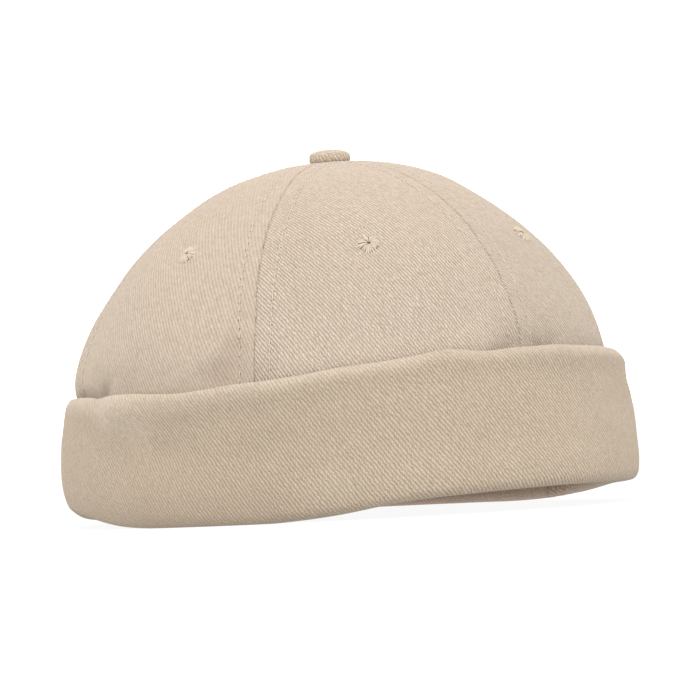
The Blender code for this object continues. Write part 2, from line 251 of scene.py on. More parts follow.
# Seams between the panels. Each meets the button turned by `turn` degrees from its angle at the cuff.
Seam = namedtuple("Seam", "angle turn")
SEAMS = (
    Seam(-180, 0),
    Seam(-120, -2),
    Seam(-60, -4),
    Seam(0, 0),
    Seam(60, 4),
    Seam(120, 2),
    Seam(180, 0),
)

# One row a panel, from one seam to the next, with how much the nap hides its ribs, from 0 to 1
Panel = namedtuple("Panel", "name eyelet_angle eyelet_rise nap")
PANELS = (
    Panel("back_right", -150.0, 40.0, 0.25),
    Panel("side_right", -85.8, 40.6, 0.55),
    Panel("front_right", -33.0, 39.2, 0.00),
    Panel("front_left", 21.2, 40.4, 0.00),
    Panel("side_left", 90.0, 40.0, 0.25),
    Panel("back_left", 150.0, 40.0, 0.00),
)

# The cuff round the head, as in the solids: how high its fold and its top edge are, how far its face
# stands out at the fold, halfway and at the top, and how high the fold is rounded
Station = namedtuple("Station", "angle lift top out_low out_mid out_top rounding")
CUFF = (
    Station(-180, 0.0000, 0.0406, 0.0064, 0.0060, 0.0030, 0.0070),
    Station(-150, 0.0023, 0.0420, 0.0046, 0.0046, 0.0025, 0.0090),
    Station(-130, 0.0061, 0.0436, 0.0034, 0.0037, 0.0007, 0.0120),
    Station(-115, 0.0047, 0.0441, 0.0032, 0.0038, 0.0015, 0.0115),
    Station(-95, 0.0008, 0.0442, 0.0032, 0.0033, 0.0040, 0.0090),
    Station(-75, 0.0000, 0.0441, 0.0034, 0.0036, 0.0045, 0.0060),
    Station(-60, 0.0000, 0.0458, 0.0042, 0.0044, 0.0046, 0.0045),
    Station(-45, 0.0017, 0.0483, 0.0062, 0.0061, 0.0046, 0.0040),
    Station(-30, 0.0052, 0.0510, 0.0084, 0.0078, 0.0045, 0.0040),
    Station(-15, 0.0067, 0.0525, 0.0104, 0.0090, 0.0051, 0.0040),
    Station(0, 0.0074, 0.0529, 0.0114, 0.0096, 0.0055, 0.0040),
    Station(15, 0.0074, 0.0525, 0.0112, 0.0096, 0.0056, 0.0040),
    Station(30, 0.0070, 0.0513, 0.0099, 0.0088, 0.0052, 0.0040),
    Station(45, 0.0065, 0.0492, 0.0079, 0.0077, 0.0046, 0.0050),
    Station(60, 0.0054, 0.0473, 0.0061, 0.0064, 0.0040, 0.0055),
    Station(75, 0.0026, 0.0459, 0.0048, 0.0058, 0.0037, 0.0060),
    Station(90, 0.0006, 0.0448, 0.0042, 0.0054, 0.0036, 0.0070),
    Station(110, 0.0000, 0.0436, 0.0042, 0.0054, 0.0033, 0.0070),
    Station(135, 0.0000, 0.0424, 0.0051, 0.0057, 0.0032, 0.0080),
    Station(160, 0.0000, 0.0412, 0.0063, 0.0061, 0.0032, 0.0070),
)

# Dents (depth below 0) and ridges, first those of the solids, then the finer ones of this surface. A
# height is a rise on the crown, and on the cuff 0 at the fold and 1 at the top.
Fold = namedtuple("Fold", "from_angle from_height to_angle to_height width depth")
CROWN_FOLDS = (
    Fold(50, 42, 50, 48, 0.0150, -0.0039),
    Fold(50, 68, 45, 72, 0.0120, 0.0005),
    Fold(-130, 36, -130, 52, 0.0160, -0.0012),
    Fold(-130, 76, -140, 78, 0.0120, -0.0007),
    Fold(-138, 5, -118, 5, 0.0080, -0.0017),
    Fold(-106, 11, -101, 5, 0.0050, -0.0012),
    Fold(-73, 21, -70, 6, 0.0040, 0.0007),
    Fold(-65, 7, -62, 22, 0.0060, -0.0015),
    Fold(-4, 11, 10, 11, 0.0055, -0.0020),
    Fold(25, 29, 31, 17, 0.0050, -0.0007),
)
FINE_CROWN_FOLDS = (
    Fold(-8, 27, 1, 27, 0.0018, -0.00025),
    Fold(-53, 54, -50, 25, 0.0080, -0.00045),
    Fold(3, 22, 11, 13, 0.0050, -0.00030),
    Fold(-4, 11, 10, 11, 0.0055, 0.00100),
    Fold(-8, 9, -5, 9, 0.0030, -0.00070),
    Fold(5, 9.5, 9, 9, 0.0030, -0.00090),
    Fold(-78, 9, -70, 14, 0.0030, 0.00035),
    Fold(-68, 8, -65, 15, 0.0050, -0.00120),
    Fold(-57, 8, -54, 12, 0.0060, -0.00040),
    Fold(-100, 10, -60, 9, 0.0060, -0.00050),
    Fold(-117, 6.5, -104, 6.5, 0.0046, -0.00180),
    Fold(-104, 7, -98, 12, 0.0026, -0.00030),
    Fold(-140, 5, -124, 6, 0.0060, -0.00080),
    Fold(-93, 8, -90, 16, 0.0040, -0.00040),
    Fold(-50, 8, -12, 8, 0.0090, 0.00190),
    Fold(-16, 12, -10, 14, 0.0060, 0.00080),
)
CUFF_FOLDS = (
    Fold(-95, 0.54, -84, 0.80, 0.0065, -0.0009),
    Fold(-84, 0.80, -60, 0.85, 0.0060, -0.0011),
    Fold(-102, 0.97, -98, 0.97, 0.0040, -0.0008),
)
FINE_CUFF_FOLDS = (
    Fold(-92, 0.46, -80, 0.56, 0.0080, -0.0010),
    Fold(-80, 0.56, -58, 0.54, 0.0090, -0.0012),
    Fold(-58, 0.54, -38, 0.60, 0.0080, -0.0006),
    Fold(-93, 0.90, -83, 0.76, 0.0062, 0.0014),
    Fold(-97, 0.80, -95, 0.50, 0.0050, 0.0007),
    Fold(-32, 0.02, 6, 0.02, 0.0120, 0.0022),
    Fold(4, 0.66, 30, 0.64, 0.0090, -0.0012),
    Fold(-18, 0.72, -12, 0.90, 0.0050, -0.0004),
)

# Places on the cuff lightened as painted highlight, or darkened below 0 as painted shade, with how much
# instead of a depth
PAINTED_LIGHT_PLACES = (
    Fold(-95, 0.82, -88, 0.74, 0.0060, 0.22),
    Fold(-24, 0.99, 8, 0.99, 0.0030, -0.09),
    Fold(-84, 0.45, -52, 0.50, 0.0200, -0.07),
    Fold(-49, 0.18, -43, 0.18, 0.0070, 0.14),
)

# A swell round the head: where it is, how wide in degrees, and how much
Wave = namedtuple("Wave", "angle width height")

# Where the nap hides the ribs of the cuff, from 0 to 1
CUFF_NAP = Wave(-100.0, 40.0, 0.35)

# The soft roll of the cuff's top edge and the hollow under it, which spread apart on the wearer's right
Roll = namedtuple("Roll", "down width height")
EDGE_ROLLS = (
    Roll(0.0030, 0.0024, 0.00045),
    Roll(0.0088, 0.0040, -0.00035),
)
ROLL_SPREAD = Wave(-86.0, 26.0, 0.9)

# Tucks across the inside of the hem, where its seam allowances are bunched, with creases between them
TUCKS = (
    Wave(84.4, 0.8, 0.0009),
    Wave(82.8, 1.0, -0.0023),
    Wave(81.3, 0.7, 0.0010),
    Wave(79.9, 0.9, -0.0023),
    Wave(78.4, 0.7, 0.0007),
    Wave(77.0, 1.2, -0.0012),
)
TUCK_HEIGHT = 0.012
# How dark the creases between the tucks are painted as shade, for each metre they are pushed out
CREASE_SHADE = 700.0

# Small rises and falls of the cuff's top edge
EDGE_WAVES = (
    Wave(-101, 3.0, -0.0007),
    Wave(-89, 5.0, 0.0004),
    Wave(-76, 4.0, -0.0003),
    Wave(-63, 4.0, 0.0003),
    Wave(-42, 5.0, 0.0004),
    Wave(-21, 5.0, 0.0012),
    Wave(-10.5, 4.0, -0.0006),
    Wave(6, 4.0, 0.0003),
)

# How the cuff's relief fades out towards its inside and the floor
FACE_FADE = 0.0014
LINING_FADE = 0.0020
FLOOR_FADE = 0.004
FOLD_SHARE = 0.3

# The edge's rolls fade out where the face leans in over the crown
ROLL_OUT = 0.0006
ROLL_FADE = 0.0030

# Loose waves of the cloth everywhere
RIPPLE_COUNT = 28
RIPPLE_SHORT = 0.012
RIPPLE_LONG = 0.045
CROWN_RIPPLE = 0.00016
CUFF_RIPPLE = 0.00022


def half_turn(angles):
    """Angles brought to between -180 and 180."""
    return (angles + 180) % 360 - 180


def matched(angles, rises):
    """Angles and rises as arrays of one shape."""
    return np.broadcast_arrays(np.asarray(angles, float), np.asarray(rises, float))


def around(column, angles):
    """The cuff's values in one column at any angles, on a smooth curve through the rows."""
    places = np.array([row.angle for row in CUFF], float)
    values = np.tile([getattr(row, column) for row in CUFF], 3)
    places = np.concatenate([places - 360, places, places + 360])
    turned = half_turn(np.asarray(angles, float))
    here = np.searchsorted(places, turned, side="right") - 1
    span = places[here + 1] - places[here]
    s = (turned - places[here]) / span

    def slope(row):
        return (values[row + 1] - values[row - 1]) / (places[row + 1] - places[row - 1])

    start = (1 + 2 * s) * (1 - s) ** 2 * values[here] + s * (1 - s) ** 2 * span * slope(here)
    end = s * s * (3 - 2 * s) * values[here + 1] - s * s * (1 - s) * span * slope(here + 1)
    return start + end


def fold_lift(angles):
    """How far the cuff's fold is off the surface."""
    return np.maximum(0.0, around("lift", angles))


def swell(wave, angles):
    """How much a wave adds at each angle."""
    return wave.height * bump(half_turn(np.asarray(angles) - wave.angle), wave.width)


def cuff_top(angles):
    """The height of the cuff's top edge, with its small waves."""
    return around("top", angles) + sum(swell(wave, angles) for wave in EDGE_WAVES)


def smooth_step(share):
    """0 to 1 with no slope at either end."""
    share = np.clip(share, 0.0, 1.0)
    return share * share * (3 - 2 * share)


def bump(distance, width):
    """1 at no distance, fading out on both sides."""
    return np.exp(-(distance / width) ** 2)


def fold_depth(folds, angles, heights, angle_length, height_length):
    """The sum of the dents and ridges at each place."""
    total = np.zeros(np.broadcast(angles, heights).shape)
    for fold in folds:
        turn = half_turn(angles - fold.from_angle)
        x, y = turn * angle_length, (heights - fold.from_height) * height_length
        line_x = (fold.to_angle - fold.from_angle) * angle_length
        line_y = (fold.to_height - fold.from_height) * height_length
        along = np.clip((x * line_x + y * line_y) / (line_x ** 2 + line_y ** 2), 0.0, 1.0)
        total += fold.depth * bump(np.hypot(x - along * line_x, y - along * line_y), fold.width)
    return total


def ripple_waves():
    """Plane waves with fixed random directions, lengths and starts."""
    draw = np.random.default_rng(11)
    ways = draw.normal(size=(RIPPLE_COUNT, 3))
    ways /= np.linalg.norm(ways, axis=1, keepdims=True)
    lengths = draw.uniform(RIPPLE_SHORT, RIPPLE_LONG, RIPPLE_COUNT)
    starts = draw.uniform(0, 2 * np.pi, RIPPLE_COUNT)
    return ways / lengths[:, None] * 2 * np.pi, starts, lengths / RIPPLE_LONG


WAYS, STARTS, SIZES = ripple_waves()


def ripple(points):
    """Soft uneven waves through space, about -1 to 1."""
    total = np.zeros(points.shape[:-1])
    for way, start, size in zip(WAYS, STARTS, SIZES):
        total += size * np.sin(points @ way + start)
    return total / np.sqrt((SIZES ** 2).sum() / 2) / 2


def crown_centre(heights):
    """Points over the middle of the crown's widest line."""
    heights = np.asarray(heights, float)
    here = 0 * heights
    return np.stack([here - CROWN_RIGHT, here + CROWN_BACK, heights], -1)


def widest_place(angles):
    """Points on the crown's widest line, from its middle, and the outward directions there."""
    turn = np.radians(angles)
    place = np.stack([HALF_WIDTH * np.sin(turn), -HALF_LENGTH * np.cos(turn), 0 * turn], -1)
    outward = np.stack([np.sin(turn) / HALF_WIDTH, -np.cos(turn) / HALF_LENGTH, 0 * turn], -1)
    return place, outward / np.linalg.norm(outward, axis=-1, keepdims=True)


def widest_height(angles):
    """How high the crown's widest line is."""
    return WIDEST_HEIGHT + WIDEST_TILT * np.cos(np.radians(angles))


def skirt_out(angles, heights):
    """How far the crown's skirt leans out from the widest line."""
    down = (widest_height(angles) - heights) / (widest_height(angles) - fold_lift(angles))
    return (around("out_low", angles) - CUFF_CLOTH - SKIRT_GAP) * down


def crown_base(angles, rises):
    """The crown's outer face before its folds."""
    angles, rises = matched(angles, rises)
    wide, outward = widest_place(angles)
    low = widest_height(angles)
    skirt_height = low + rises * RISE_LENGTH
    skirt = crown_centre(skirt_height) + wide + outward * skirt_out(angles, skirt_height)[..., None]
    turn = np.radians(np.maximum(rises, 0))
    up = np.sin(turn) ** (2 / DOME_FULLNESS)
    apex = np.array([APEX_LEFT, -APEX_FORWARD, 0.0])
    dome = crown_centre(low + (APEX_HEIGHT - low) * up)
    dome = dome + wide * np.cos(turn)[..., None] + apex * up[..., None]
    return np.where((rises < 0)[..., None], skirt, dome)


def normals_of(surface, angles, rises, step=0.4):
    """The outward normals of a crown surface."""
    across = surface(angles + step, rises) - surface(angles - step, rises)
    upward = surface(angles, rises + step) - surface(angles, rises - step)
    normal = np.cross(across, upward)
    return normal / np.linalg.norm(normal, axis=-1, keepdims=True)


def seam_angle(seam, rises):
    """Where a seam is round the head at each rise."""
    return seam.angle + seam.turn * smooth_step(np.asarray(rises) / 90)


def panel_puff(angles, rises):
    """How far the cloth stands out between two seams."""
    total = np.zeros(np.broadcast(angles, rises).shape)
    for left, right in zip(SEAMS, SEAMS[1:]):
        low, high = seam_angle(left, rises), seam_angle(right, rises)
        share = (angles - low) / (high - low)
        inside = (share >= 0) & (share <= 1)
        total += np.where(inside, np.sin(np.pi * np.clip(share, 0, 1)), 0.0)
    return PANEL_PUFF * total * np.sin(np.radians(2 * np.maximum(rises, 0)))


def crown_fold_depth(folds, angles, rises):
    """The sum of the crown's dents and ridges. A degree round it gets shorter towards the button."""
    level = ANGLE_LENGTH * np.cos(np.radians(np.clip(rises, 0, TOP_RISE)))
    return fold_depth(folds, angles, rises, level, RISE_LENGTH)


def crown_folded(angles, rises):
    """The crown's outer face as in the solids."""
    shift = crown_fold_depth(CROWN_FOLDS, angles, rises) + panel_puff(angles, rises)
    shift = shift * smooth_step(rises / FOLD_FADE)
    return crown_base(angles, rises) + normals_of(crown_base, angles, rises) * shift[..., None]


def level_radius(angles, rises):
    """The distance from the crown's axis."""
    wide, _ = widest_place(angles)
    return np.linalg.norm(wide, axis=-1) * np.cos(np.radians(np.clip(rises, 0, TOP_RISE)))


def seam_distance(angles, rises):
    """How far each place is from the nearest seam."""
    nearest = np.full(np.broadcast(angles, rises).shape, 1.0)
    radius = level_radius(angles, rises)
    for seam in SEAMS[1:]:
        away = half_turn(angles - seam_angle(seam, rises))
        nearest = np.minimum(nearest, np.abs(np.radians(away)) * radius)
    return nearest


def meridian(rises):
    """The length up the crown from its widest line, along the front."""
    table = np.linspace(-30, 90, 481)
    line = crown_base(np.zeros_like(table), table)
    steps = np.linalg.norm(np.diff(line, axis=0), axis=1)
    lengths = np.concatenate([[0], np.cumsum(steps)])
    lengths -= np.interp(0.0, table, lengths)
    return np.interp(rises, table, lengths)


def sewn_relief(angles, rises):
    """The seams' valleys, the ridges over their allowances and the pull of the topstitches."""
    away = seam_distance(angles, rises)
    beat = 0.5 + 0.5 * np.cos(2 * np.pi * meridian(rises) / STITCH_PITCH)
    valley = -SEAM_DEPTH * bump(away, SEAM_HALF_WIDTH) * (0.8 + 0.2 * beat)
    ridge = RIDGE_HEIGHT * smooth_step(away / RIDGE_START)
    ridge = ridge * (1 - smooth_step((away - RIDGE_END) / RIDGE_FADE))
    pull = -PULL_DEPTH * bump(away - TOPSTITCH_OUT, PULL_WIDTH) * (0.5 + 0.5 * beat)
    under_button = 1 - BUTTON_PRESS * smooth_step((np.asarray(rises) - PRESS_RISE) / RELIEF_FADE)
    return valley + (ridge + pull) * under_button


def eyelet_relief(angles, rises):
    """The cloth drawn in round each eyelet."""
    total = np.zeros(np.broadcast(angles, rises).shape)
    radius = level_radius(angles, rises)
    for panel in PANELS:
        x = np.radians(half_turn(angles - panel.eyelet_angle)) * radius
        y = (rises - panel.eyelet_rise) * RISE_LENGTH
        total -= DRAWN_DEPTH * bump(np.hypot(x, y), DRAWN_WIDTH)
    return total


def crown_draped(angles, rises, inward=0.0):
    """The crown's face with its fine folds and ripples, on its outside or further in."""
    angles, rises = matched(angles, rises)
    points = crown_folded(angles, rises)
    shift = crown_fold_depth(FINE_CROWN_FOLDS, angles, rises) + CROWN_RIPPLE * ripple(points)
    shift = (shift + eyelet_relief(angles, rises)) * smooth_step(rises / FOLD_FADE) - inward
    return points + normals_of(crown_folded, angles, rises) * shift[..., None]


def crown_surface(angles, rises):
    """The crown's outer face with all of its relief."""
    angles, rises = matched(angles, rises)
    relief = sewn_relief(angles, rises) * smooth_step((rises + RELIEF_FADE) / RELIEF_FADE)
    return crown_draped(angles, rises, -relief)


def new_mesh(name, points, faces, second=(), wear=0.0, nap=0.0, **maps):
    """A smooth mesh from corner points and faces, with UV maps that hold two lengths a point.

    The faces whose numbers are in second take the second of the piece's materials. Wear and painted light
    is above 0 where the cloth is rubbed pale or lightened as painted highlight, and below 0 where it is
    darkened as painted shade. Nap is how far it hides the ribs, up to 1.
    """
    mesh = bpy.data.meshes.new(name)
    mesh.from_pydata(points.tolist(), [], faces.tolist() if hasattr(faces, "tolist") else faces)
    mesh.shade_smooth()
    places = np.zeros(len(mesh.polygons), np.int32)
    places[list(second)] = 1
    mesh.polygons.foreach_set("material_index", places)
    for title, values in (("wear", wear), ("nap", nap)):
        layer = mesh.attributes.new(title, "FLOAT", "POINT")
        layer.data.foreach_set("value", np.broadcast_to(values, len(points)).astype(np.float32))
    corners = np.empty(len(mesh.loops), np.int32)
    mesh.loops.foreach_get("vertex_index", corners)
    for title, lengths in maps.items():
        layer = mesh.uv_layers.new(name=title)
        layer.data.foreach_set("uv", (lengths[corners] / UV_UNIT).astype(np.float32).ravel())
    mesh.validate()
    return mesh


def new_object(name, data):
    """An object of the scene."""
    thing = bpy.data.objects.new(name, data)
    bpy.context.scene.collection.objects.link(thing)
    return thing


def new_piece(mesh, materials, slot, *nodes):
    """A piece of the cap that rides on its one body and stands for the named nodes."""
    piece = new_object(mesh.name, mesh)
    for material in materials:
        mesh.materials.append(material)
    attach(piece, "root")
    if nodes:
        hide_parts(*nodes)


def grid_faces(rows, columns, offset=0, wrap=False):
    """Quads of a grid of points kept row by row. A wrapped grid joins its last column to its first."""
    spans = columns if wrap else columns - 1
    row, column = np.meshgrid(np.arange(rows - 1), np.arange(spans), indexing="ij")
    after = (column + 1) % columns
    here = row * columns
    quads = np.stack([here + column, here + after, here + columns + after, here + columns + column], -1)
    return quads.reshape(-1, 4) + offset


def panel_shares(width):
    """Places across a panel, close together at its two seams."""
    edge = np.array(EDGE_STEPS) * MM / width
    middle = np.linspace(edge[-1], 1 - edge[-1], PANEL_COLUMNS + 1)[1:-1]
    return np.concatenate([edge, middle, 1 - edge[::-1]])


def panel_wear_shade_and_nap(panel, angles, rises):
    """Where a panel is rubbed pale by wear, or darkened below 0 as painted shade in its dents, and how
    far the nap hides its ribs.
    """
    # The dents are darkened as painted shade
    shaded_dents = np.maximum(0.0, -crown_fold_depth(FINE_CROWN_FOLDS, angles, rises))
    wear = RUBBED_TOP * smooth_step((rises - RUBBED_RISE) / TOP_FADE) - DENT_SHADE * shaded_dents
    return wear, 1 - (1 - NAP_TOP * smooth_step((rises - NAP_RISE) / TOP_FADE)) * (1 - panel.nap)


def pairs(first, second):
    """Two lengths for each point."""
    return np.stack([first, second], -1).reshape(-1, 2)


def panel_mesh(name, panel, left, right):
    """One crown panel: an outer sheet, an inner sheet with the seam allowances, and the edge between."""
    middle = (left.angle + right.angle) / 2
    width = np.radians(right.angle - left.angle) * level_radius(middle, 0.0)
    shares = panel_shares(float(width))
    skirt_rows = np.linspace(-1, 0, SKIRT_ROWS + 1)[:-1]
    rows = np.concatenate([skirt_rows, np.linspace(0, TOP_RISE, PANEL_ROWS)])
    share, row = np.meshgrid(shares, rows)
    low, high = seam_angle(left, np.maximum(row, 0)), seam_angle(right, np.maximum(row, 0))
    angles = low + (high - low) * share
    skirt = (fold_lift(angles) + SKIRT_LIFT - widest_height(angles)) / RISE_LENGTH
    rises = np.where(row < 0, -row * skirt, row)
    outer = crown_surface(angles, rises)
    away = seam_distance(angles, rises)
    allowance = ALLOWANCE_DEPTH * (1 - smooth_step((away - ALLOWANCE_WIDTH) / ALLOWANCE_FADE))
    fade = smooth_step((ALLOWANCE_TOP - rises) / RELIEF_FADE) * smooth_step(rises / STITCH_LOW_RISE)
    inner = crown_draped(angles, rises, CLOTH + allowance * fade)
    up = meridian(rises)
    cloth = pairs(np.radians(angles - middle) * level_radius(angles, rises), up)
    sewing = pairs(away, up)
    count = outer.shape[0] * outer.shape[1]
    sheet = grid_faces(*outer.shape[:2])
    ids = np.arange(count).reshape(outer.shape[:2])
    rim = np.concatenate([ids[0, :-1], ids[:-1, -1], ids[-1, :0:-1], ids[:0:-1, 0]])
    after = np.roll(rim, -1)
    edge = np.stack([after, rim, rim + count, after + count], -1)
    faces = np.concatenate([sheet, sheet[:, ::-1] + count, edge])
    points = np.concatenate([outer.reshape(-1, 3), inner.reshape(-1, 3)])
    back = range(len(sheet), 2 * len(sheet))
    wear, nap = (np.tile(look.ravel(), 2) for look in panel_wear_shade_and_nap(panel, angles, rises))
    cloth, sewing = np.tile(cloth, (2, 1)), np.tile(sewing, (2, 1))
    return new_mesh(name, points, faces, back, wear, nap, cloth=cloth, sewing=sewing)


def cuff_face(angles, heights):
    """How far the cuff's outer face stands out, without its folds."""
    low, middle, high = (around(column, angles) for column in ("out_low", "out_mid", "out_top"))
    bow = 4 * (middle - (low + high) / 2) * heights * (1 - heights)
    return low + (high - low) * heights + bow


def cuff_outer(angles, heights, inward=0.0):
    """The cuff's outer face with its folds, which fade out towards its inner face."""
    tall = around("top", angles) - fold_lift(angles)
    folds = fold_depth(CUFF_FOLDS, angles, heights, ANGLE_LENGTH, tall)
    return cuff_face(angles, heights) - inward + folds * (1 - inward / CUFF_CLOTH)


def cuff_corners(angles):
    """The cuff's section at each angle, as lists of how far out and how high its corners are."""
    fold, top = fold_lift(angles), cuff_top(angles)
    tall = top - fold
    rounding = around("rounding", angles)
    rest_out = cuff_outer(angles, 0 * angles) - FOLD_WIDTH * REST_SHARE + REST_WIDTH / 2
    rest_in = rest_out - REST_WIDTH
    band_in = cuff_outer(angles, 0 * angles) - FOLD_WIDTH
    face = [1 - FACE_TOP / tall] + [share + 0 * tall for share in FACE_SHARES]
    corners = [(cuff_outer(angles, 1 - down / tall, inward), top - down) for down, inward in SHOULDER]
    corners += [(cuff_outer(angles, share), fold + share * tall) for share in face]
    side_out = cuff_outer(angles, rounding / tall)
    for turn in np.radians(OUTER_TURNS):
        out = rest_out + (side_out - rest_out) * np.cos(turn)
        corners.append((out, fold + rounding * (1 - np.sin(turn))))
    corners += [(rest_out, fold), (rest_in, fold)]
    for turn in np.radians(INNER_TURNS):
        out = band_in + (rest_in - band_in) * (1 - np.cos(turn))
        corners.append((out, fold + INNER_ROUND * (1 - np.sin(turn))))
    band = [fold + INNER_ROUND, fold + (INNER_ROUND + BAND_HEIGHT) / 2, fold + BAND_HEIGHT]
    corners += [(skirt_out(angles, height) - 2 * CLOTH - GAP, height) for height in band]
    corners += [(skirt_out(angles, height) - CLOTH - GAP, height) for height in band[::-1]]
    floor_in = corners[-1][0]
    floor_out = cuff_outer(angles, SKIRT_LIFT / tall, CUFF_CLOTH)
    corners += [(floor_in + (floor_out - floor_in) * share, fold + FOLD_FLOOR) for share in FLOOR_SHARES]
    for share in [SKIRT_LIFT / tall] + face[::-1]:
        corners.append((cuff_outer(angles, share, CUFF_CLOTH), fold + share * tall))
    return np.stack([np.stack(corner, -1) for corner in corners], 1)


def smooth_ring(corners, steps):
    """A closed curve through each section's corners, with several points from one corner to the next."""
    after = np.roll(corners, -1, axis=1)
    span = np.linalg.norm(after - corners, axis=-1, keepdims=True)
    way = (after - corners) / span
    way_before, span_before = np.roll(way, 1, axis=1), np.roll(span, 1, axis=1)
    slope = (way_before * span + way * span_before) / (span + span_before)
    slope_after = np.roll(slope, -1, axis=1)
    points = []
    for share in np.arange(steps) / steps:
        start = (1 + 2 * share) * (1 - share) ** 2 * corners + share * (1 - share) ** 2 * span * slope
        end = share ** 2 * (3 - 2 * share) * after - share ** 2 * (1 - share) * span * slope_after
        points.append(start + end)
    return np.stack(points, 2).reshape(corners.shape[0], -1, corners.shape[2])


def cuff_outside(angles, out, share):
    """How much each place belongs to the cuff's outer face, and to its outer half, from 0 to 1."""
    depth = CUFF_CLOTH + (FOLD_WIDTH / 2 - CUFF_CLOTH) * (1 - smooth_step(share / FOLD_SHARE))
    face = cuff_outer(angles[:, None], np.clip(share, 0, 1))
    outside = smooth_step((out - face + depth) / FACE_FADE)
    foot = cuff_outer(angles, 0 * angles)[:, None]
    return outside, smooth_step((out - foot + FOLD_WIDTH / 2) / LINING_FADE)


def cuff_relief(angles, share, below, tall):
    """How far the cuff's fine folds and the rolls of its top edge stand out."""
    shift = fold_depth(FINE_CUFF_FOLDS, angles[:, None], share, ANGLE_LENGTH, tall)
    stand = smooth_step((around("out_top", angles) - ROLL_OUT) / ROLL_FADE)[:, None]
    for roll in EDGE_ROLLS:
        shift += roll.height * stand * bump(below - roll.down, roll.width)
    return shift


def cuff_painted_light(angles, share, below, fold, tall):
    """Where the cuff's outer face is lightened as painted highlight, and below 0 where it is darkened as
    painted shade.
    """
    # Painted shade, darker towards the hem where it rests on the floor
    shade_at_hem = HEM_SHADE * smooth_step((HEM_SHADE_SHARE - share) / HEM_SHADE_SHARE)
    shade_at_hem = shade_at_hem * (1 - smooth_step(fold / HEM_SHADE_LIFT))
    places = fold_depth(PAINTED_LIGHT_PLACES, angles[:, None], share, ANGLE_LENGTH, tall)
    # The top edge lightened as painted highlight
    return EDGE_HIGHLIGHT * bump(below, EDGE_HIGHLIGHT_WIDTH) + places - shade_at_hem


def cuff_mesh(name):
    """The cuff as one fine ring with its waves and folds. Its cloth is joined in one line at the back."""
    angles = -180 + 360 * np.arange(CUFF_SECTIONS) / CUFF_SECTIONS
    section = smooth_ring(cuff_corners(angles), SECTION_STEPS)
    place, outward = widest_place(angles)
    out, height = section[..., 0], section[..., 1]
    points = crown_centre(height) + (place[:, None] + outward[:, None] * out[..., None])
    fold, top = fold_lift(angles)[:, None], cuff_top(angles)[:, None]
    tall = top - fold
    share = (height - fold) / tall
    below = (top - height) / (1 + swell(ROLL_SPREAD, angles))[:, None]
    outside, outer_half = cuff_outside(angles, out, share)
    shift = cuff_relief(angles, share, below, tall) + CUFF_RIPPLE * ripple(points)
    shift = shift * np.maximum(outside, outer_half) * smooth_step(height / FLOOR_FADE)
    tucked = sum(swell(tuck, angles) for tuck in TUCKS)[:, None]
    shift += tucked * (1 - outside) ** 3 * (1 - smooth_step((height - fold) / TUCK_HEIGHT))
    points = points + outward[:, None] * shift[..., None]
    points[..., 2] = np.maximum(points[..., 2], 0.0)
    steps = np.linalg.norm(np.diff(section, axis=1), axis=-1)
    down = np.concatenate([np.zeros((len(angles), 1)), np.cumsum(steps, axis=1)], axis=1)
    run = np.radians(angles)[:, None] * (HALF_LENGTH + HALF_WIDTH) / 2
    cloth = pairs(run + 0 * down, -down)
    rings, around_section = section.shape[:2]
    ids = np.arange(rings * around_section).reshape(rings, around_section)
    over, beside = np.roll(ids, -1, axis=1), np.roll(ids, -1, axis=0)
    faces = np.stack([ids, over, np.roll(over, -1, axis=0), beside], -1).reshape(-1, 4)
    inside = np.flatnonzero((ids % around_section >= BAND_START * SECTION_STEPS).ravel())
    # Painted highlight and shade on the cuff's outer face
    wear = cuff_painted_light(angles, share, below, fold, tall) * outside
    # The creases between the tucks darkened as painted shade
    wear = (wear - CREASE_SHADE * np.maximum(tucked, 0.0) * (1 - outside)).ravel()
    nap = np.repeat(swell(CUFF_NAP, angles), around_section)
    sewing = np.full_like(cloth, NO_SEAM)
    return new_mesh(name, points.reshape(-1, 3), faces, inside, wear, nap, cloth=cloth, sewing=sewing)


def tube(path, normals, radii, sides=6, flat=0.75):
    """Points and faces of a closed thread along a path. A thread is lower than it is wide."""
    tangent = np.gradient(path, axis=0)
    tangent /= np.linalg.norm(tangent, axis=1, keepdims=True)
    side = np.cross(normals, tangent)
    side /= np.linalg.norm(side, axis=1, keepdims=True)
    turn = 2 * np.pi * np.arange(sides) / sides
    ring = side[:, None] * np.cos(turn)[:, None] + normals[:, None] * np.sin(turn)[:, None] * flat
    points = (path[:, None] + ring * radii[:, None, None]).reshape(-1, 3)
    faces = grid_faces(len(path), sides, wrap=True).tolist()
    faces += [list(range(sides))[::-1], [len(points) - sides + i for i in range(sides)]]
    return points, faces


def joined_mesh(name, parts, second=()):
    """One mesh of many closed threads."""
    points, faces, count = [], [], 0
    for part_points, part_faces in parts:
        points.append(part_points)
        faces += [[corner + count for corner in face] for face in part_faces]
        count += len(part_points)
    return new_mesh(name, np.concatenate(points), faces, second)


def stitch_row(seam, side, draw):
    """The topstitches on one side of a seam."""
    table = np.linspace(STITCH_LOW_RISE, STITCH_TOP_RISE, 600)
    lengths = meridian(table)
    threads = []
    count = int((lengths[-1] - lengths[0]) / STITCH_PITCH)
    for number in range(count):
        start = lengths[0] + (number + STITCH_SPREAD * draw.normal()) * STITCH_PITCH
        line = np.linspace(start, start + STITCH_LENGTH, 7)
        rises = np.interp(line, lengths, table)
        out = TOPSTITCH_OUT + STITCH_SWAY * draw.normal()
        angles = seam_angle(seam, rises) + side * np.degrees(out / level_radius(seam.angle, rises))
        normals = normals_of(crown_folded, angles, rises)
        along = np.linspace(-1, 1, len(line))
        lift = THREAD_RADIUS * (0.55 - 1.5 * along ** 4)
        path = crown_surface(angles, rises) + normals * lift[:, None]
        radii = THREAD_RADIUS * (1 - 0.35 * along ** 4)
        threads.append(tube(path, normals, radii))
    return threads


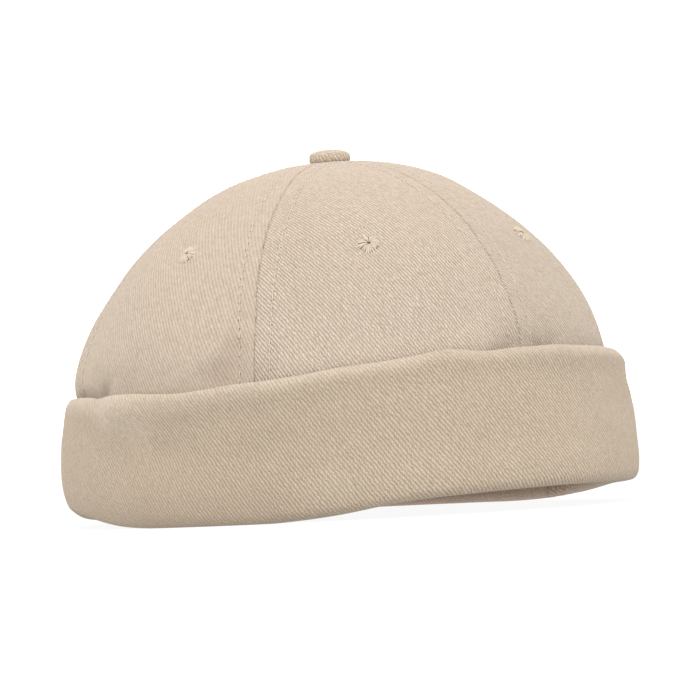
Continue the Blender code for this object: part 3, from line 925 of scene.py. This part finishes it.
def eyelet_mesh(name, panel, draw):
    """Satin stitches of uneven length over a low dome, coloured dark as painted shade, with a small hole
    in its middle.
    """
    place = crown_surface(panel.eyelet_angle, panel.eyelet_rise)
    normal = normals_of(crown_folded, np.array(panel.eyelet_angle), np.array(panel.eyelet_rise))
    level = np.cross([0, 0, 1], normal)
    level /= np.linalg.norm(level)
    upward = np.cross(normal, level)
    turn = 2 * np.pi * np.arange(EYELET_SIDES) / EYELET_SIDES
    way = level * np.cos(turn)[:, None] + upward * np.sin(turn)[:, None]
    ring = [place + way * radius + normal * height for radius, height in zip(RING_RADII, RING_HEIGHTS)]
    faces = grid_faces(len(ring), EYELET_SIDES, wrap=True).tolist()
    last = (len(ring) - 1) * EYELET_SIDES
    faces += [list(range(EYELET_SIDES)), [last + EYELET_SIDES - 1 - i for i in range(EYELET_SIDES)]]
    parts = [(np.concatenate(ring), faces)]
    along = np.linspace(0, 1, 11)
    fullness = np.sin(np.pi * np.clip(along * 0.80 + 0.15, 0, 1)) ** 0.6
    fullness[-1] = 0.1
    normals = np.repeat(normal[None], len(along), axis=0)
    for number in range(EYELET_STITCHES):
        turn = 2 * np.pi * (number + TURN_SPREAD * draw.normal()) / EYELET_STITCHES
        way = level * np.cos(turn) + upward * np.sin(turn)
        reach = EYELET_RADIUS * (1 + REACH_SPREAD * draw.normal())
        radius = EYELET_HOLE + (reach - EYELET_HOLE) * along
        loose = LIE_HEIGHT + LIE_SPREAD * draw.normal()
        lift = np.interp(radius, RING_RADII[RING_TOP], RING_HEIGHTS[RING_TOP])
        lift = lift + loose * fullness - LIE_DEPTH
        path = place + way * radius[:, None] + normal * lift[:, None]
        room = CROWDING * np.pi * radius / EYELET_STITCHES
        width = np.minimum(room, EYELET_THREAD) * (0.55 + 0.45 * fullness)
        parts.append(tube(path, normals, width, sides=8, flat=1.0))
    return joined_mesh(name, parts, range(len(faces)))


def button_mesh(name):
    """The covered button: a domed drum with a gathered foot on the crown, its shank and its washer."""
    turn = 2 * np.pi * np.arange(BUTTON_SIDES) / BUTTON_SIDES
    dome = np.radians(np.linspace(2, 90, DOME_ROWS))
    dome_radius = BUTTON_RADIUS * np.sin(dome)
    dome_height = BUTTON_WALL + (BUTTON_HEIGHT - BUTTON_WALL) * np.cos(dome)
    wall = np.linspace(0, 1, WALL_ROWS + 1)[1:]
    wall_radius = BUTTON_RADIUS * (1 + BUTTON_SWELL * np.sin(np.pi * wall) - BUTTON_TUCK * wall ** 4)
    radius = np.concatenate([dome_radius, wall_radius, FOOT_RADII])
    height = np.concatenate([dome_height, BUTTON_WALL * (1 - wall), FOOT_HEIGHTS])[:, None] + 0 * turn
    rise = 90 - np.degrees(BUTTON_RADIUS / HALF_LENGTH)
    crown = crown_surface(np.degrees(turn) + 90, rise)[:, 2] - APEX_HEIGHT
    sunk = np.concatenate([0 * dome, smooth_step(wall), np.ones(len(FOOT_RADII))])
    height = height + sunk[:, None] * (crown + BUTTON_SEAT)
    gathers = GATHER_DEPTH * np.sin(GATHERS * turn + 0.8 * np.sin(3 * turn))
    gathers = gathers * smooth_step((wall - 0.3) / 0.5)[:, None]
    rings = radius[:, None] + np.pad(gathers, ((len(dome), len(FOOT_RADII)), (0, 0)))
    points = np.stack([rings * np.cos(turn), rings * np.sin(turn), height], -1)
    steps = np.hypot(np.diff(radius), np.diff(height[:, 0]))
    arc = np.concatenate([[radius[0]], radius[0] + np.cumsum(steps)])[:, None]
    top, last = DOME_ROWS, DOME_ROWS - 1
    flat = pairs(arc[:top] * np.cos(turn), arc[:top] * np.sin(turn))
    side = pairs(BUTTON_RADIUS * turn + 0 * arc[last:], -arc[last:] + 0 * turn)
    points = np.concatenate([points[:top], points[last:]])
    cloth = np.concatenate([flat, side])
    faces = grid_faces(top, BUTTON_SIDES, wrap=True)[:, ::-1].tolist()
    faces += grid_faces(len(points) - top, BUTTON_SIDES, top * BUTTON_SIDES, wrap=True)[:, ::-1].tolist()
    faces += [list(range(BUTTON_SIDES)), [len(cloth) - 1 - i for i in range(BUTTON_SIDES)]]
    centre = np.array([APEX_LEFT - CROWN_RIGHT, CROWN_BACK - APEX_FORWARD, APEX_HEIGHT])
    sewing = np.full_like(cloth, NO_SEAM)
    return new_mesh(name, points.reshape(-1, 3) + centre, faces, cloth=cloth, sewing=sewing)


class Nodes:
    """Adds and links the nodes of one material or world."""

    def __init__(self, owner, shader="Principled BSDF"):
        owner.use_nodes = True
        self.owner = owner
        self.tree = owner.node_tree
        self.shader = self.tree.nodes[shader]

    def add(self, kind, values=(), **settings):
        """A node with settings, whose inputs are values or other nodes' outputs."""
        node = self.tree.nodes.new("ShaderNode" + kind)
        for key, value in settings.items():
            setattr(node, key, value)
        for key, value in dict(values).items():
            self.feed(node.inputs[key], value)
        return node

    def feed(self, socket, value):
        """A socket's value, or its link from another node."""
        if isinstance(value, bpy.types.NodeSocket):
            self.tree.links.new(value, socket)
        else:
            socket.default_value = value

    def math(self, operation, *values):
        """The result of one sum."""
        return self.add("Math", enumerate(values), operation=operation).outputs[0]

    def noise(self, vector, scale, detail=2.0, roughness=0.5):
        """Soft noise of one scale, about 0 to 1."""
        values = {"Vector": vector, "Scale": scale, "Detail": detail, "Roughness": roughness}
        return self.add("TexNoise", values).outputs["Fac"]

    def ramp(self, value, low, high, start=0.0, end=1.0):
        """A value carried from one range to another, held at its ends."""
        values = {"Value": value, "From Min": low, "From Max": high, "To Min": start, "To Max": end}
        return self.add("MapRange", values).outputs["Result"]

    def mix(self, factor, first, second):
        """A colour between two others. Inputs 6 and 7 and output 2 of the node are its colours."""
        node = self.add("Mix", {0: factor, 6: first, 7: second}, data_type="RGBA")
        return node.outputs[2]

    def set(self, **values):
        """Values set on the shader's own sockets, with _ for a space in a name."""
        for key, value in values.items():
            self.feed(self.shader.inputs[key.replace("_", " ")], value)


def twill_height(nodes, parts, wander):
    """The relief of the twill from 0 to 1: slanting ribs, beaded by the yarns that cross them."""
    scale = UV_UNIT / RIB_PITCH
    slant = np.radians(RIB_ANGLE)
    level, rise = np.sin(slant) * scale, -np.cos(slant) * scale
    phase = nodes.math("MULTIPLY_ADD", parts["X"], level, wander)
    phase = nodes.math("MULTIPLY_ADD", parts["Y"], rise, phase)
    rib = nodes.math("SINE", nodes.math("MULTIPLY", phase, 2 * np.pi))
    yarn = nodes.math("MULTIPLY_ADD", parts["X"], UV_UNIT / YARN_PITCH, wander)
    bead = nodes.math("SINE", nodes.math("MULTIPLY", yarn, 2 * np.pi))
    return nodes.math("MULTIPLY", nodes.ramp(rib, -0.95, 0.7), nodes.ramp(bead, -1.0, 0.5, 0.38, 1.0))


def sewing_marks(nodes, height):
    """How deep the cloth is pulled in at its seams and at the topstitches' needle holes, from 0 to 1.

    A seam's painted shade is darkest where the gap between two ribs reaches it, and closes up in places.
    """
    uv = nodes.add("UVMap", uv_map="sewing").outputs["UV"]
    parts = nodes.add("SeparateXYZ", {"Vector": uv}).outputs
    seam = nodes.ramp(parts["X"], SEAM_LINE[0] / UV_UNIT, SEAM_LINE[1] / UV_UNIT, 1.0, 0.0)
    open_places = nodes.ramp(nodes.noise(uv, 1.6, 3.0, 0.6), 0.43, 0.62, 0.06, 1.0)
    seam = nodes.math("MULTIPLY", seam, nodes.ramp(height, 0.1, 0.9, 0.62, 0.04))
    seam = nodes.math("MULTIPLY", seam, open_places)
    fainter = nodes.ramp(parts["Y"], SEAM_FAINT[0] / UV_UNIT, SEAM_FAINT[1] / UV_UNIT, 1.0, 0.45)
    seam = nodes.math("MULTIPLY", seam, fainter)
    beat = nodes.math("FRACT", nodes.math("MULTIPLY", parts["Y"], UV_UNIT / STITCH_PITCH))
    along = nodes.math("ABSOLUTE", nodes.math("SUBTRACT", beat, NEEDLE_PLACE))
    along = nodes.math("MULTIPLY", along, STITCH_PITCH / UV_UNIT)
    out = nodes.math("ABSOLUTE", nodes.math("SUBTRACT", parts["X"], TOPSTITCH_OUT / UV_UNIT))
    squares = nodes.math("ADD", nodes.math("POWER", along, 2.0), nodes.math("POWER", out, 2.0))
    away = nodes.math("SQRT", squares)
    hole = nodes.ramp(away, 0.5 * NEEDLE_HOLE / UV_UNIT, 1.6 * NEEDLE_HOLE / UV_UNIT, 1.0, 0.0)
    return nodes.math("MAXIMUM", seam, hole)


def cloth_material(name, rib_colour, gap_colour):
    """Brushed cotton twill: pale ribs over darker gaps, partly painted shade, slubs, faint blotches, a
    soft nap, wear, and painted highlight and shade.
    """
    nodes = Nodes(bpy.data.materials.new(name))
    uv = nodes.add("UVMap", uv_map="cloth").outputs["UV"]
    parts = nodes.add("SeparateXYZ", {"Vector": uv}).outputs
    place = nodes.add("TexCoord").outputs["Object"]
    bend = nodes.ramp(nodes.noise(uv, 0.5), 0.0, 1.0, -RIB_BEND, RIB_BEND)
    jitter = nodes.ramp(nodes.noise(uv, 8.0, 1.0), 0.0, 1.0, -RIB_JITTER, RIB_JITTER)
    height = twill_height(nodes, parts, nodes.math("ADD", bend, jitter))
    nap = nodes.add("Attribute", attribute_name="nap").outputs["Fac"]
    height = nodes.math("MULTIPLY_ADD", nodes.math("SUBTRACT", NAP_HEIGHT, height), nap, height)
    fuzz = nodes.noise(place, FUZZ_SCALE, 3.0, 0.7)
    slub = nodes.noise(place, SLUB_SCALE, 3.0, 0.6)
    blotch = nodes.noise(place, BLOTCH_SCALE, 3.0, 0.55)
    sewn_dents_and_shade = sewing_marks(nodes, height)
    relief = nodes.math("MULTIPLY_ADD", fuzz, 0.35, height)
    relief = nodes.math("MULTIPLY_ADD", slub, 0.35, relief)
    relief = nodes.math("MULTIPLY_ADD", sewn_dents_and_shade, -1.4, relief)
    # Darker gaps between the ribs: partly the weave's own tone, partly painted shade
    tone = nodes.math("MULTIPLY_ADD", slub, 0.55, nodes.math("MULTIPLY", height, 0.85))
    ribs = nodes.mix(nodes.ramp(tone, 0.20, 1.05), gap_colour, rib_colour)
    colour = nodes.mix(nodes.ramp(blotch, 0.3, 0.7, 0.0, 0.22), ribs, CLOTH_BLOTCH)
    # Above 0 the colour pales, as wear on the crown's top and as painted highlight on the cuff; below 0
    # it darkens as painted shade in dents, creases and at the hem
    wear = nodes.add("Attribute", attribute_name="wear").outputs["Fac"]
    patchy_wear_and_light = nodes.math("MULTIPLY", wear, nodes.ramp(slub, 0.25, 0.75, 0.6, 1.4))
    colour = nodes.mix(nodes.ramp(patchy_wear_and_light, 0.0, 1.0), colour, CLOTH_HIGHLIT_AND_WORN)
    colour = nodes.mix(nodes.ramp(patchy_wear_and_light, 0.0, -1.0), colour, CLOTH_SHADE)
    # Seams and needle holes darkened as painted shade
    colour = nodes.mix(nodes.math("MULTIPLY", sewn_dents_and_shade, 0.75), colour, CLOTH_SHADE)
    bumps = nodes.add("Bump", {"Height": relief, "Strength": 0.9, "Distance": TWILL_BUMP})
    nodes.set(Base_Color=colour, Roughness=0.93, Specular_IOR_Level=0.18, Normal=bumps.outputs["Normal"])
    nodes.set(Sheen_Weight=0.10, Sheen_Roughness=0.45, Sheen_Tint=(1.0, 0.95, 0.88, 1))
    return nodes.owner


def thread_material():
    """Spun cotton thread, a little lighter and shinier than the cloth."""
    nodes = Nodes(bpy.data.materials.new("sewing_thread"))
    place = nodes.add("TexCoord").outputs["Object"]
    fibres = nodes.noise(place, 3800.0, 3.0, 0.65)
    colour = nodes.mix(fibres, THREAD_DARK, THREAD_LIGHT)
    bumps = nodes.add("Bump", {"Height": fibres, "Strength": 0.5, "Distance": 0.0001})
    nodes.set(Base_Color=colour, Roughness=0.72, Specular_IOR_Level=0.3, Normal=bumps.outputs["Normal"])
    nodes.set(Sheen_Weight=0.15, Sheen_Roughness=0.4)
    return nodes.owner


def shade_material():
    """Painted shade: the dark inside of a small hole and of the ring under an eyelet's stitches."""
    nodes = Nodes(bpy.data.materials.new("eyelet_hole"))
    place = nodes.add("TexCoord").outputs["Object"]
    colour = nodes.mix(nodes.noise(place, 900.0), HOLE_SHADE_DARK, HOLE_SHADE_LIGHT)
    nodes.set(Base_Color=colour, Roughness=1.0, Specular_IOR_Level=0.0)
    return nodes.owner


def make_cap():
    """Every piece of the cap."""
    draw = np.random.default_rng(5)
    # The reverse: partly its own tone, partly lightened as painted light for the shaded inside
    reverse = cloth_material("cotton_twill_reverse_lit", REVERSE_RIB_LIT, REVERSE_GAP_LIT)
    cloth = (cloth_material("cotton_twill", CLOTH_RIB, CLOTH_GAP), reverse)
    # The cuff's copy of the twill, darker and warmer as painted shade
    cuff = (cloth_material("cotton_twill_cuff_shaded", CUFF_RIB_SHADED, CUFF_GAP_SHADED), reverse)
    # The button's copy of the twill, lighter as painted highlight
    button = (cloth_material("cotton_twill_button_lit", BUTTON_RIB_LIT, BUTTON_GAP_LIT),)
    # The eyelets' second material is painted shade
    thread = (thread_material(), shade_material())
    for panel, left, right in zip(PANELS, SEAMS, SEAMS[1:]):
        mesh = panel_mesh("cloth_panel_" + panel.name, panel, left, right)
        new_piece(mesh, cloth, "cotton_twill", "panel_" + panel.name)
        mesh = eyelet_mesh("thread_eyelet_" + panel.name, panel, draw)
        new_piece(mesh, thread, "eyelet_thread", "eyelet_" + panel.name)
    for number, seam in enumerate(SEAMS[1:], 1):
        threads = stitch_row(seam, -1, draw) + stitch_row(seam, 1, draw)
        new_piece(joined_mesh("topstitches_%d" % number, threads), thread[:1], "eyelet_thread")
    new_piece(cuff_mesh("cloth_cuff"), cuff, "cotton_twill", "cuff")
    new_piece(button_mesh("cloth_button"), button, "cotton_twill", "button")


def make_floor():
    """A plain pale floor, lit evenly from below."""
    nodes = Nodes(bpy.data.materials.new("pale_floor"))
    nodes.set(Base_Color=FLOOR_COLOUR, Roughness=1.0, Specular_IOR_Level=0.0)
    nodes.set(Emission_Color=(1, 1, 1, 1), Emission_Strength=FLOOR_GLOW)
    corners = FLOOR_HALF * np.array([(-1, -1, 0), (1, -1, 0), (1, 1, 0), (-1, 1, 0)])
    mesh = new_mesh("floor", corners, [[0, 1, 2, 3]])
    mesh.materials.append(nodes.owner)
    new_object("floor", mesh)


def view_axes():
    """The directions to the camera, to its right and upwards, before its roll."""
    azimuth, elevation = np.radians([AZIMUTH, ELEVATION])
    level = np.cos(elevation)
    back = Vector((np.sin(azimuth) * level, -np.cos(azimuth) * level, np.sin(elevation)))
    right = Vector((np.cos(azimuth), np.sin(azimuth), 0))
    return back, right, back.cross(right)


def make_light():
    """An even white surround and one wide soft light, from above on the side where the camera stands."""
    nodes = Nodes(bpy.data.worlds.new("surround"), "Background")
    place = nodes.add("TexCoord").outputs["Generated"]
    parts = nodes.add("SeparateXYZ", {"Vector": place}).outputs
    strength = nodes.ramp(parts["Z"], 0.0, 1.0, SURROUND, SURROUND_ABOVE)
    nodes.set(Color=SURROUND_COLOUR, Strength=strength)
    bpy.context.scene.world = nodes.owner
    back, right, up = view_axes()
    light = bpy.data.lights.new("overhead", "SUN")
    light.energy = OVERHEAD
    light.color = OVERHEAD_COLOUR
    light.angle = np.radians(OVERHEAD_ANGLE)
    holder = new_object("overhead", light)
    holder.location = (0, 0, 1)
    way = up + right * OVERHEAD_TILT[0] + back * OVERHEAD_TILT[1]
    holder.rotation_euler = way.to_track_quat("Z", "Y").to_euler()
    bpy.context.scene.view_settings.view_transform = "Standard"


def make_camera():
    """The camera at the photograph's angle, rolled as the cap is in it."""
    back, right, up = view_axes()
    roll = np.radians(ROLL)
    across = right * np.cos(roll) - up * np.sin(roll)
    upward = right * np.sin(roll) + up * np.cos(roll)
    data = bpy.data.cameras.new("camera")
    data.lens = LENS
    data.sensor_width = SENSOR
    data.clip_end = 50
    camera = new_object("camera", data)
    turned = Matrix((across, upward, back)).transposed().to_4x4()
    camera.matrix_world = Matrix.Translation(Vector(AIM) + back * DISTANCE) @ turned
    bpy.context.scene.camera = camera


make_camera()
make_cap()
make_floor()
make_light()
